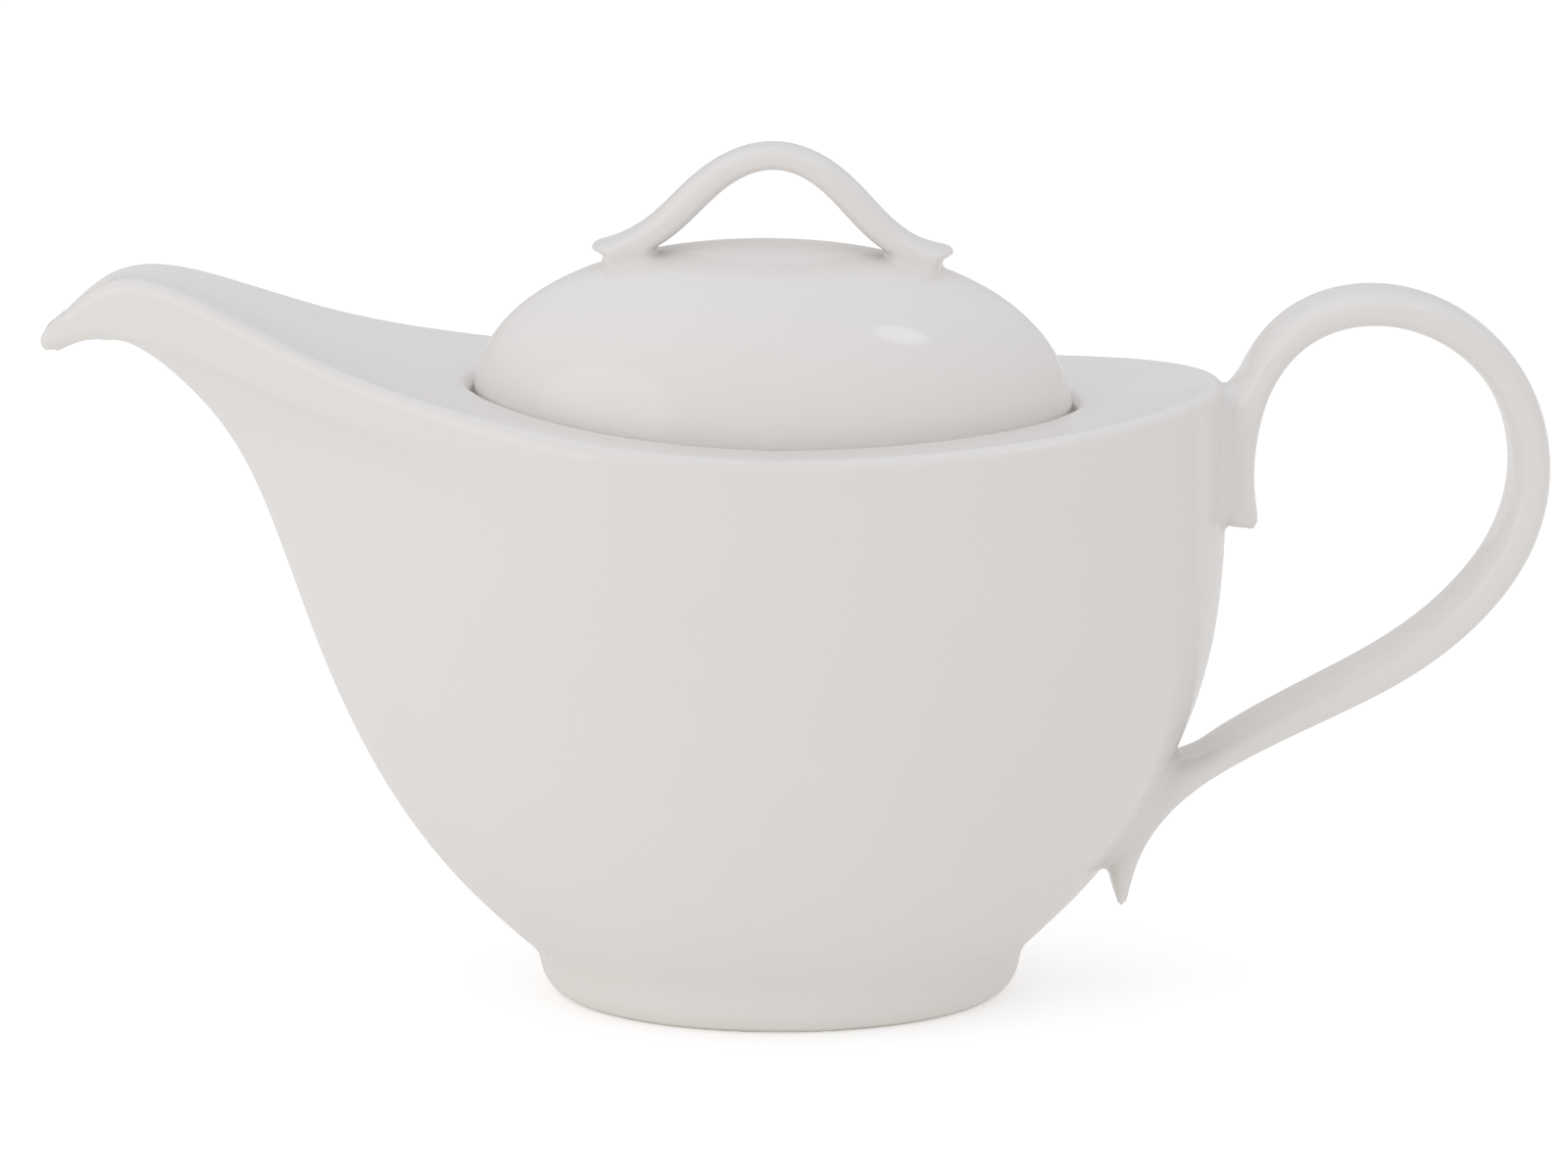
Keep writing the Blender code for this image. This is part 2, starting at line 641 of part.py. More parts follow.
def coat(thing, name, colour, roughness):
    """Gives a piece a plain glaze or bisque material."""
    material = bpy.data.materials.new(name)
    material.use_nodes = True
    shader = material.node_tree.nodes["Principled BSDF"]
    shader.inputs["Base Color"].default_value = (*colour, 1.0)
    shader.inputs["Roughness"].default_value = roughness
    shader.inputs["Metallic"].default_value = 0.0
    thing.data.materials.append(material)
    thing.data.shade_smooth()


def centre_lengthwise(nodes):
    """Moves everything along X, so that the nodes' bounding box is centred on the origin."""
    bpy.context.view_layer.update()
    graph = bpy.context.evaluated_depsgraph_get()
    ends = [corner[0] for thing in nodes for corner in thing.evaluated_get(graph).bound_box]
    for thing in bpy.data.objects:
        if thing.parent is None:
            thing.location.x -= (min(ends) + max(ends)) / 2


def main():
    for thing in list(bpy.data.objects):
        bpy.data.objects.remove(thing)
    pot = [pot_body(), spout(), spout_strainer(), handle()]
    lid = [lid_dome(), lid_collar(), lid_bow()]
    foot = foot_ring()
    for thing in pot + lid:
        coat(thing, thing.name + "_glaze", GLAZE, GLAZE_ROUGHNESS)
    coat(foot, "foot_bisque", BISQUE, BISQUE_ROUGHNESS)
    lid_axis = bpy.data.objects.new("lid_axis", None)
    bpy.context.scene.collection.objects.link(lid_axis)
    for thing in lid:
        thing.parent = lid_axis
    centre_lengthwise(pot + lid + [foot])


main()
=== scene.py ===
"""The looks of an oval porcelain teapot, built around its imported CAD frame.

The pot is one glazed skin: bowl, deck, spout, foot and strap handle melt into each other, as
they do when they are luted and fired. The lid is a second skin. Both follow the same curves as
the CAD model, at a finer resolution, and their edges and joints are softened as glaze softens
them. Shapes are in millimetres, measured from the lid's upright axis, +Z up.
"""

import math

import bpy
import numpy as np
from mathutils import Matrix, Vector
from mathutils.bvhtree import BVHTree
from mathutils.kdtree import KDTree


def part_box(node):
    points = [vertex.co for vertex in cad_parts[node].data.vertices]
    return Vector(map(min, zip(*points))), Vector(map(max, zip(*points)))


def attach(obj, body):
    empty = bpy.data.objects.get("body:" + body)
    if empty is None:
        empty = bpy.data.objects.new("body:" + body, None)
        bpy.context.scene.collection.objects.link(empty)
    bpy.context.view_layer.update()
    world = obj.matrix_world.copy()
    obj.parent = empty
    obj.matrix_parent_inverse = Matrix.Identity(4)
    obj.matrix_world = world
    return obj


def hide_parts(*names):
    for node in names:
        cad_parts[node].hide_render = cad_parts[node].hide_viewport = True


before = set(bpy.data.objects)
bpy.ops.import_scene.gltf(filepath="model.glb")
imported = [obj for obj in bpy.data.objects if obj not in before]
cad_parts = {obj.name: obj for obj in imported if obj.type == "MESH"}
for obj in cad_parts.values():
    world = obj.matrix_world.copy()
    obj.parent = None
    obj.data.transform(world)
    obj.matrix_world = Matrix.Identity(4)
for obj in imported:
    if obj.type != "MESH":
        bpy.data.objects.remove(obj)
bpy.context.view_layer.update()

MM = 0.001

# ---------------------------------------------------------------- the CAD model's dimensions, mm
WALL = 4.0
RIM_DEPTH = 57.0
SPOUT_TIP = -133.3
HANDLE_END = 81.6
RIM_RISE = 1.9
EDGE_ROUND = 2.6
DECK_DISH = 1.4
FOOT = np.array([45.0, 36.8])
FOOT_SHIFT = 1.2
FOOT_HEIGHT = 8.6
FLOOR_UNDERSIDE = 4.6
FLOOR_TOP = 9.0
FLOOR_SHARE = 0.06
THIN_FROM_TO = (-124.0, -98.0)
LEAST_WALL = (1.8, 3.4)
LIP_FROM = -118.0
BASE_STEP = (0.74, 0.68)
LIP_ROOF = 0.5
LIP_SETBACK = 2.0
HUMP_START, HUMP_POWER = 0.45, 2.6
OPENING = np.array([54.8, 40.2])
THROAT = np.array([50.4, 35.4])
LEDGE_DEPTH = 4.2
LEDGE_THICK = 4.0
MOUTH_POINT = np.array([-125.6, 0.0, 128.7])
MOUTH_NORMAL = np.array([-0.66, 0.0, 0.751])
MOUTH = (6.2, 3.5)
MOUTH_DEPTH = 4.4
LID_EDGE = np.array([54.2, 39.6])
LID_TOP = 138.8
LID_WALL = 3.4
DOME_POWER = 2.2
DOME_FROM = 0.1
CROWN_SHIFT = -2.0
COLLAR = np.array([48.8, 33.8])
COLLAR_WALL = 2.8
COLLAR_DROP = 15.0
VENT = 1.8
VENT_BEHIND = 17.0

LEVELS = np.array(
    [
        # keel x, keel z, depth, mid z, end x, end z, taper, nose
        (-44.0, 8.6, 36.5, 8.6, 45.8, 8.6, 0.50, 0.00),
        (-52.1, 16.0, 42.5, 16.0, 53.4, 16.0, 0.50, 0.00),
        (-62.6, 27.2, 49.2, 27.0, 62.8, 26.8, 0.52, 0.00),
        (-73.7, 43.9, 54.4, 44.0, 73.2, 44.2, 0.56, 0.01),
        (-84.0, 67.1, 57.4, 64.0, 80.2, 65.4, 0.66, 0.04),
        (-93.9, 94.5, 58.2, 84.0, 82.2, 85.5, 0.86, 0.10),
        (-105.0, 111.5, 57.9, 95.5, 82.3, 97.5, 1.12, 0.15),
        (-119.5, 121.3, 57.6, 101.4, 82.1, 104.4, 1.32, 0.14),
        (-130.6, 118.4, 57.3, 105.0, 81.9, 108.8, 1.44, 0.15),
        (SPOUT_TIP, 119.8, RIM_DEPTH, 108.9, HANDLE_END, 114.0, 1.50, 0.15),
    ]
)
RIM_SIDE = np.array(
    [
        (0.0, 108.9),
        (-28.0, 110.7),
        (-56.0, 115.2),
        (-82.0, 122.3),
        (-100.0, 129.6),
        (-112.0, 133.2),
        (-121.0, 131.8),
        (-127.0, 127.6),
        (-131.5, 123.3),
        (SPOUT_TIP, 119.8),
    ]
)
HANDLE_LINE = np.array(
    [
        (85.8, 86.9),
        (84.6, 95.0),
        (84.9, 104.0),
        (87.6, 114.0),
        (95.0, 123.3),
        (108.2, 127.4),
        (121.9, 123.9),
        (132.1, 114.8),
        (137.3, 99.0),
        (134.6, 84.5),
        (127.2, 73.3),
        (116.1, 63.6),
        (100.0, 54.5),
        (84.0, 45.9),
        (72.8, 37.4),
        (66.4, 28.0),
        (63.6, 17.4),
    ]
)
HANDLE_WIDTH = (24.0, 20.0, 19.0, 20.0, 21.0)
HANDLE_THICK = (5.0, 6.4, 7.0, 6.1, 2.0)
HANDLE_CUTS = ((0.012, 0.013), (0.012, 0.0))
HANDLE_ROOTS = ((1, -0.05, 0.13, 3.6), (-1, 0.85, 1.005, 3.0))
BOW_LINE = np.array(
    [
        (-33.1, 136.8),
        (-27.2, 138.1),
        (-20.5, 141.6),
        (-13.1, 148.4),
        (-6.5, 153.0),
        (0.5, 154.5),
        (7.4, 152.4),
        (13.8, 147.1),
        (20.0, 140.8),
        (25.8, 137.3),
        (33.0, 136.0),
    ]
)
BOW_WIDTH = (16.5, 14.0, 13.0, 14.0, 16.5)
BOW_THICK = (2.8, 5.4, 4.5, 5.4, 2.8)
BOW_CUTS = ((-0.025, -0.03), (-0.025, -0.03))
BOW_ROOTS = ((-1, -0.05, 0.15, 2.6), (-1, 0.85, 1.05, 2.6))
ROOT_FADE = 0.045
STRAP_POWER = 3.2

low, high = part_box("lid_dome")
LID_AXIS_X = (low.x + high.x) / 2  # metres

# ---------------------------------------------------------------- how finely the skins are made
VOXEL = {"pot": 0.7, "lid": 0.45}  # mm, of the even meshes
SMOOTHING = {"pot": 30, "lid": 24}  # rounds

# How far from a crease the surface is softened, mm.
EDGE_REACH, LID_EDGE_REACH = 0.7, 0.8
JOINT_REACH, LID_JOINT_REACH, BOW_REACH = 2.8, 1.3, 2.0
SPOUT_REACH = 1.2
SEAT_REACH = 1.8
FOOT_REACH = 4.0
BASE_REACH = 1.4

CREASE_ANGLE = math.radians(24)  # between two faces, above which their edge is a crease

# ---------------------------------------------------------------- glaze, light and camera
BARE_BELOW = 0.0005  # height of the foot's unglazed edge, m
BARE_EDGE = 0.0003  # over which the glaze ends, m
CLOUDS, GLOSS, RIPPLE, GRAIN, WOBBLE = 14.0, 30.0, 90.0, 2600.0, 60.0  # noise scales
GLAZE_ROUGHNESS = (0.1, 0.17)
BISQUE_ROUGHNESS = 0.8
COAT, COAT_ROUGHNESS = 0.3, 0.04
GLAZE_IOR, GLAZE_SPECULAR = 1.5, 0.35
RIPPLE_STRENGTH, RIPPLE_DEPTH = 0.12, 0.0003  # the depth in m
NOISE_MIDDLE = (0.3, 0.7)  # the range that a noise mostly keeps to
GLAZE_DEEP = (0.873, 0.843, 0.811, 1.0)
GLAZE_THIN = (0.895, 0.865, 0.837, 1.0)
BISQUE_DEEP = (0.66, 0.63, 0.585, 1.0)
BISQUE_THIN = (0.74, 0.715, 0.67, 1.0)
FLOOR_SIZE = 6.0  # half its side, m
FLOOR_SEEN, FLOOR_SEEN_GLOW = (0.9, 0.9, 0.9, 1.0), 0.37
FLOOR_AS_LIGHT, FLOOR_GLOW = (0.62, 0.61, 0.595, 1.0), 0.46  # what the pot gets from it
ROOM_SIDES = (0.63, 0.615, 0.592, 1.0)
ROOM_ABOVE = (0.785, 0.805, 0.86, 1.0)
# Lamps: place (m), the point that it faces, diameter (m), power (W) and colour.
KEY = ((-2.0, -1.35, 0.7), (0, 0, 0.07), 2.5, 10.2, (1.0, 0.97, 0.93))
LAMP = ((0.62, -0.07, 1.28), (0.0, 0.0, 0.12), 0.3, 0.4, (1.0, 1.0, 1.0))

CAMERA_PLACE = (0.001955, -1.1, 0.306)  # from the lid's axis at floor level, m
CAMERA_DOWN = 11.86  # degrees below level
LENS = 141.37  # mm, over a sensor 36 mm wide


# ---------------------------------------------------------------- curves and loops
def spline(knots, values, at):
    """Natural cubic spline of values over increasing knots."""
    values = np.asarray(values, float).reshape(len(knots), -1)
    step = np.diff(knots)
    count = len(knots)
    system = np.eye(count)
    right = np.zeros_like(values)
    for i in range(1, count - 1):
        system[i, i - 1 : i + 2] = step[i - 1], 2 * (step[i - 1] + step[i]), step[i]
        slopes = (values[i + 1] - values[i]) / step[i] - (values[i] - values[i - 1]) / step[i - 1]
        right[i] = 6 * slopes
    bend = np.linalg.solve(system, right)
    at = np.clip(np.atleast_1d(at), knots[0], knots[-1])
    i = np.clip(np.searchsorted(knots, at, side="right") - 1, 0, count - 2)
    h = step[i][:, None]
    a = ((knots[i + 1] - at) / step[i])[:, None]
    b = 1 - a
    curve = a * values[i] + b * values[i + 1]
    return curve + ((a**3 - a) * bend[i] + (b**3 - b) * bend[i + 1]) * h * h / 6


def smooth_line(points, at):
    """A natural cubic spline through points, read at shares of its length from 0 to 1."""
    points = np.asarray(points, float)
    knots = np.concatenate([[0.0], np.cumsum(np.linalg.norm(np.diff(points, axis=0), axis=1))])
    return spline(knots / knots[-1], points, at)


def rim_height(x):
    """Z of the rim over X, on both sides of mid-length."""
    x = np.asarray(x, float)
    side = RIM_SIDE[::-1]
    over_spout = spline(side[:, 0], side[:, 1], np.minimum(x, 0.0).ravel())[:, 0]
    share = np.clip(x.ravel() / HANDLE_END, 0, 1)
    mid, end = LEVELS[-1][3], LEVELS[-1][5]
    over_handle = mid + (end - mid) * share**RIM_RISE
    return np.where(x.ravel() < 0, over_spout, over_handle).reshape(x.shape)


def keel_inset(line, shares, inset):
    """The keel moved into the wall, by less towards the spout's thin lip, where it ends short."""
    along = np.gradient(line, axis=0)
    along /= np.linalg.norm(along, axis=1)[:, None]
    inward = np.stack([along[:, 1], -along[:, 0]], axis=1)
    thin = 1 - 0.4 * shares**4
    moved = line + inward * (inset * thin)[:, None]
    moved[:, 0] += max(inset, 0.0) * LIP_SETBACK * shares**10
    return moved


def row_half(level, keel, share, around, inset, tip):
    """Half of one level's loop, from the handle's end round to the spout's keel."""
    _, _, depth, mid_z, end_x, end_z, taper, nose = level
    phi = np.linspace(0, math.pi / 2, around)
    drop = inset * share**6
    back = np.stack(
        [
            (end_x - inset) * np.cos(phi),
            (depth - inset) * np.sin(phi),
            mid_z + (end_z - mid_z) * np.cos(phi) ** RIM_RISE - drop,
        ],
        axis=1,
    )
    t = np.sin(np.linspace(0, math.pi / 2, 2 * around)[1:])
    plan = (1 - t**2) ** taper + nose * t**4 * np.sqrt(np.maximum(1 - t**8, 0))
    hump = max(0.0, (share - HUMP_START) / (1 - HUMP_START)) ** HUMP_POWER
    plain_rim = LEVELS[-1][3] + (tip[1] - LEVELS[-1][3]) * t**3
    height = mid_z + (keel[1] - mid_z) * t**3 + hump * (rim_height(t * tip[0]) - plain_rim)
    front = np.stack([t * keel[0], (depth - inset) * plan, height - drop * (1 - t**10)], axis=1)
    back[0, 1] = front[-1, 1] = 0.0
    return np.concatenate([back, front])


def wall_halves(shares, around, inset):
    """One half loop for each share of the way from the foot to the rim."""
    knots = np.linspace(0, 1, len(LEVELS))
    fine = np.linspace(0, 1, 181)
    keel = keel_inset(spline(knots, LEVELS[:, 0:2], fine), fine, inset)
    keel[-1, 1] = rim_height(keel[-1, 0]) - LIP_ROOF * max(inset, 0.0)
    levels = spline(knots, LEVELS, shares)
    keels = np.stack([np.interp(shares, fine, keel[:, k]) for k in (0, 1)], axis=1)
    return [row_half(*row, around, inset, keel[-1]) for row in zip(levels, keels, shares)]


def loop_of(half):
    """A closed loop from its half with Y >= 0: the half, then its mirror image running back."""
    return np.concatenate([half, half[-2:0:-1] * np.array([1.0, -1.0, 1.0])])


def band(lower, upper, count):
    """Quads between two loops of count points, which start at the indices lower and upper."""
    nexts = [(i + 1) % count for i in range(count)]
    return [(lower + i, lower + j, upper + j, upper + i) for i, j in enumerate(nexts)]


def rounded_rim(rim, below, steps):
    """Half loops that round the corner between the wall and the deck, and end on the deck."""
    room = 0.5 * rim[:, 1] + 0.5
    reach = np.where(rim[:, 0] < 0, np.minimum(EDGE_ROUND, room), EDGE_ROUND)[:, None]
    down = below - rim
    height = np.linalg.norm(down, axis=1)[:, None]
    down *= np.minimum(reach / height, 0.8)
    along = np.gradient(rim[:, :2], axis=0)
    inward = np.stack([-along[:, 1], along[:, 0]], axis=1)
    inward[0] = -1, 0
    inward[-1] = 1, 0
    inward /= np.linalg.norm(inward, axis=1)[:, None]
    inner = rim + np.column_stack([inward * reach, np.zeros(len(rim))])
    inner[:, 1] = np.maximum(inner[:, 1], 0.0)
    inner[:, 2] += rim_height(inner[:, 0]) - rim_height(rim[:, 0])
    shares = np.linspace(0, 1, steps)
    return [(1 - s) ** 2 * (rim + down) + 2 * s * (1 - s) * rim + s**2 * inner for s in shares]


def deck_strips(half, first, points, across):
    """Points and faces of the deck, in strips across the pot between its rounded edges."""
    count = 2 * len(half) - 2
    far = [first + i for i in range(len(half))]
    near = [first] + [first + count - i for i in range(1, len(half) - 1)] + [far[-1]]
    lines = []
    for (x, y, z), a, b in zip(half, far, near):
        if a == b:
            lines.append([a] * (across + 1))
            continue
        line = [a]
        for k in range(1, across):
            share = 1 - 2 * k / across
            line.append(len(points))
            points.append((x, y * share, z - DECK_DISH * (1 - share**2) * min(1.0, y / 20)))
        lines.append(line + [b])
    faces = []
    for this, after in zip(lines, lines[1:]):
        for k in range(across):
            corners = [this[k], after[k], after[k + 1], this[k + 1]]
            faces.append(tuple(dict.fromkeys(corners)))
    return faces


def oval(half_axes, z, count):
    """A level oval in the same order as a wall loop of count points."""
    turn = np.linspace(0, 2 * math.pi, count, endpoint=False)
    flat = np.full(count, z)
    return np.stack([half_axes[0] * np.cos(turn), half_axes[1] * np.sin(turn), flat], axis=1)


def deck_height(x, y):
    """Z of the dished deck around the lid."""
    return rim_height(x) - DECK_DISH * (1 - (y / RIM_DEPTH) ** 2)


def deck_oval(half_axes, depth, count=240):
    """An oval that follows the deck at a depth below it."""
    line = oval(half_axes, 0.0, count)
    line[:, 2] = deck_height(line[:, 0], line[:, 1]) - depth
    return line


# ---------------------------------------------------------------- solids
def mesh_object(name, points, faces):
    """An object from points in millimetres around the lid's axis."""
    world = np.asarray(points, float) * MM
    world[:, 0] += LID_AXIS_X
    mesh = bpy.data.meshes.new(name)
    mesh.from_pydata(world.tolist(), [], faces)
    mesh.update()
    thing = bpy.data.objects.new(name, mesh)
    bpy.context.scene.collection.objects.link(thing)
    return thing


def loop_solid(name, loops, ends="capped"):
    """A closed solid from loops of one count, with its faces turned outwards."""
    count = len(loops[0])
    last = (len(loops) - 1) * count
    points = np.concatenate(loops)
    faces = []
    for k in range(len(loops) - 1):
        faces += band(k * count, (k + 1) * count, count)
    if ends == "ring":
        faces += band(last, 0, count)
    else:
        middle = len(loops) * count
        points = np.concatenate([points, [np.mean(loops[0], axis=0), np.mean(loops[-1], axis=0)]])
        faces += [((i + 1) % count, i, middle) for i in range(count)]
        faces += [(last + i, last + (i + 1) % count, middle + 1) for i in range(count)]
    quads = np.array([face if len(face) == 4 else (*face, face[0]) for face in faces])
    a, b, c, d = (points[quads[:, k]] for k in range(4))
    volume = (a * (np.cross(b, c) + np.cross(c, d))).sum()
    if volume < 0:
        faces = [face[::-1] for face in faces]
    return mesh_object(name, points, faces)


def pot_solid(name, inset=0.0, rows=84, around=44, across=36):
    """The pot's outer shape as one closed solid, or its cavity where inset is the wall."""
    first = FLOOR_SHARE if inset > 0 else 0.0
    last = 1 - 1 / (len(LEVELS) - 1)
    halves = wall_halves(np.append(np.linspace(first, last, rows), 1.0), around, inset)
    rim = halves.pop()
    halves += rounded_rim(rim, halves[-1], 13)
    loops = [loop_of(half) for half in halves]
    count = len(loops[0])
    if inset <= 0:
        step = loops[0] * np.array([*BASE_STEP, 1.0])
        step[:, 0] += FOOT_SHIFT * (1 - BASE_STEP[0])
        sunk = step - np.array([0.0, 0.0, FOOT_HEIGHT - FLOOR_UNDERSIDE])
        loops = [sunk, step] + loops
    points = [tuple(p) for p in np.concatenate(loops)]
    faces = []
    for k in range(len(loops) - 1):
        faces += band(k * count, (k + 1) * count, count)
    faces += deck_strips(halves[-1], (len(loops) - 1) * count, points, across)
    centre = len(points)
    points.append((0.0, 0.0, FLOOR_TOP if inset > 0 else FLOOR_UNDERSIDE))
    faces += [((i + 1) % count, i, centre) for i in range(count)]
    return mesh_object(name, points, faces)


def cavity(name, inset=WALL):
    """The pot's inside, with its points moved inwards where the wall or deck would be too thin."""
    inside = pot_solid(name, inset)
    outside = pot_solid(name + "_limit")
    corners = [v.co for v in outside.data.vertices]
    tree = BVHTree.FromPolygons(corners, [p.vertices[:] for p in outside.data.polygons])
    for vertex in inside.data.vertices:
        x = (vertex.co.x - LID_AXIS_X) / MM
        least = MM * float(np.interp(x, THIN_FROM_TO, LEAST_WALL) + inset - WALL)
        place, normal, _, _ = tree.find_nearest(vertex.co)
        under_lip = x < LIP_FROM and normal.z < 0
        if (vertex.co - place).dot(normal) > -least and not under_lip:
            vertex.co = place - least * normal
    bpy.data.objects.remove(outside)
    return inside


def scoop(name, point, normal, half_axes, depth, reach, count=96, steps=24):
    """An oval rod along a normal, which reaches above the point and ends in a bowl below it."""
    across = np.array([0.0, 1.0, 0.0])
    up = np.cross(across, normal)
    turn = np.linspace(0, 2 * math.pi, count, endpoint=False)
    ring = np.outer(np.cos(turn) * half_axes[0], up) + np.outer(np.sin(turn) * half_axes[1], across)
    bowl = np.linspace(0.05, math.pi / 2, steps)
    loops = [point + ring * math.sin(a) - depth * math.cos(a) * normal for a in bowl]
    return loop_solid(name, [*loops, point + ring + reach * normal])


def root_depth(at, side, roots):
    """How much deeper the strap is on one side at shares of its line."""
    depth = np.zeros_like(at)
    for rooted_side, start, end, most in roots:
        share = np.clip(np.minimum(at - start, end - at) / ROOT_FADE, 0, 1)
        depth += np.where(side == rooted_side, most * share * share * (3 - 2 * share), 0.0)
    return depth


def strap(name, line, widths, thicks, cuts, roots, loops, around):
    """A strap swept along a line in the pot's middle plane, with its ends cut as cuts say."""
    places = np.linspace(0, 1, len(widths))
    turn = np.linspace(0, 2 * math.pi, around, endpoint=False)
    across = np.sign(np.cos(turn)) * np.abs(np.cos(turn)) ** (2 / STRAP_POWER)
    through = np.sign(np.sin(turn)) * np.abs(np.sin(turn)) ** (2 / STRAP_POWER)
    hollow = 1 - across**2
    start, end = (
        (notch * hollow if notch > 0 else abs(notch) * across**2)
        + abs(lean) * (1 + np.sign(lean) * through) / 2
        for notch, lean in cuts
    )
    rings = []
    for share in np.linspace(0, 1, loops):
        at = start + (1 - start - end) * share
        middle = smooth_line(line, at)
        ahead = smooth_line(line, np.minimum(at + 0.002, 1)) - smooth_line(line, at - 0.002)
        ahead /= np.linalg.norm(ahead, axis=1)[:, None]
        half_width = 0.5 * spline(places, widths, at)[:, 0] * across
        half_thick = 0.5 * spline(places, thicks, at)[:, 0]
        half_thick = (half_thick + root_depth(at, np.sign(through), roots)) * through
        x = middle[:, 0] - ahead[:, 1] * half_thick
        z = middle[:, 1] + ahead[:, 0] * half_thick
        rings.append(np.stack([x, half_width, z], axis=1))
    return loop_solid(name, rings)


def foot_solid():
    """The foot, sunk a little into the base so that the two melt together."""
    profile = (
        (0.3, FOOT_HEIGHT + 0.6),
        (0.5, 7.0),
        (0.8, 5.4),
        (1.3, 3.0),
        (2.0, 1.3),
        (3.2, 0.3),
        (4.8, 0.0),
        (9.0, 0.0),
        (10.2, 0.8),
        (10.7, FOOT_HEIGHT + 0.6),
    )
    shift = np.array([FOOT_SHIFT, 0.0, 0.0])
    return loop_solid("foot", [shift + oval(FOOT - d, z, 240) for d, z in profile], "ring")


def dome_loops(half_axes, top, depth, shares):
    """Ovals of a dome, from its edge at a depth below the deck up to its crown."""
    edge = deck_oval(half_axes, depth)
    loops = []
    start = math.sin(DOME_FROM) ** (2 / DOME_POWER)
    for angle in DOME_FROM + shares * (math.pi / 2 - DOME_FROM):
        reach = (max(math.cos(angle), 0.0) / math.cos(DOME_FROM)) ** (2 / DOME_POWER)
        rise = (math.sin(angle) ** (2 / DOME_POWER) - start) / (1 - start)
        loop = edge * np.array([reach, reach, 0.0])
        loop[:, 0] += CROWN_SHIFT * (1 - reach)
        loop[:, 2] = edge[:, 2] + (top - edge[:, 2]) * rise
        loops.append(loop)
    return loops


def dome_outside():
    """The dome's outer loops, from its curled edge to near its crown."""
    shares = np.append(np.linspace(0, 1, 64)[:-1] ** 0.9, 0.999)
    loops = dome_loops(LID_EDGE, LID_TOP, 0.2, shares)
    return [
        deck_oval(LID_EDGE - 1.6, LEDGE_DEPTH - 0.3),
        deck_oval(LID_EDGE - 0.5, 2.6),
        deck_oval(LID_EDGE - 0.1, 1.4),
    ] + loops


# ---------------------------------------------------------------- melting solids into a skin
def combined(first, steps):
    """The first solid after its joins and cuts, as one exact mesh; the others are removed."""
    for operation, other in steps:
        modifier = first.modifiers.new(operation.title(), "BOOLEAN")
        modifier.operation = operation
        modifier.object = other
        modifier.solver = "MANIFOLD"
    apply_modifiers(first)
    for _, other in steps:
        bpy.data.objects.remove(other)
    return first


def apply_modifiers(thing):
    bpy.context.view_layer.update()
    graph = bpy.context.evaluated_depsgraph_get()
    mesh = bpy.data.meshes.new_from_object(thing.evaluated_get(graph))
    thing.modifiers.clear()
    old = thing.data
    thing.data = mesh
    bpy.data.meshes.remove(old)


def coordinates(mesh):
    points = np.empty(len(mesh.vertices) * 3)
    mesh.vertices.foreach_get("co", points)
    return points.reshape(-1, 3)


def crease_points(mesh, angle, spacing):
    """Points along the edges whose faces differ by more than an angle, and which are convex."""
    count = len(mesh.edges)
    ends = np.empty(count * 2, np.int32)
    mesh.edges.foreach_get("vertices", ends)
    loops = len(mesh.loops)
    edge_of_loop = np.empty(loops, np.int32)
    mesh.loops.foreach_get("edge_index", edge_of_loop)
    starts = np.empty(len(mesh.polygons), np.int32)
    totals = np.empty(len(mesh.polygons), np.int32)
    mesh.polygons.foreach_get("loop_start", starts)
    mesh.polygons.foreach_get("loop_total", totals)
    normals = np.empty(len(mesh.polygons) * 3)
    centres = np.empty(len(mesh.polygons) * 3)
    mesh.polygons.foreach_get("normal", normals)
    mesh.polygons.foreach_get("center", centres)
    face_of_loop = np.repeat(np.arange(len(mesh.polygons)), totals)
    order = np.argsort(edge_of_loop, kind="stable")
    pairs = edge_of_loop[order].reshape(-1, 2)
    faces = face_of_loop[order].reshape(-1, 2)
    normals, centres = normals.reshape(-1, 3), centres.reshape(-1, 3)
    one, other = faces.T
    sharp = (normals[one] * normals[other]).sum(axis=1) < math.cos(angle)
    outwards = (normals[one] * (centres[other] - centres[one])).sum(axis=1) < 0
    found, convex = [], []
    sharp_ends = coordinates(mesh)[ends.reshape(-1, 2)[pairs[sharp, 0]]]
    for (a, b), out in zip(sharp_ends, outwards[sharp]):
        steps = max(1, math.ceil(np.linalg.norm(b - a) / spacing))
        found.append(a + np.linspace(0, 1, steps + 1)[:, None] * (b - a))
        convex += [out] * (steps + 1)
    return np.concatenate(found), np.array(convex)


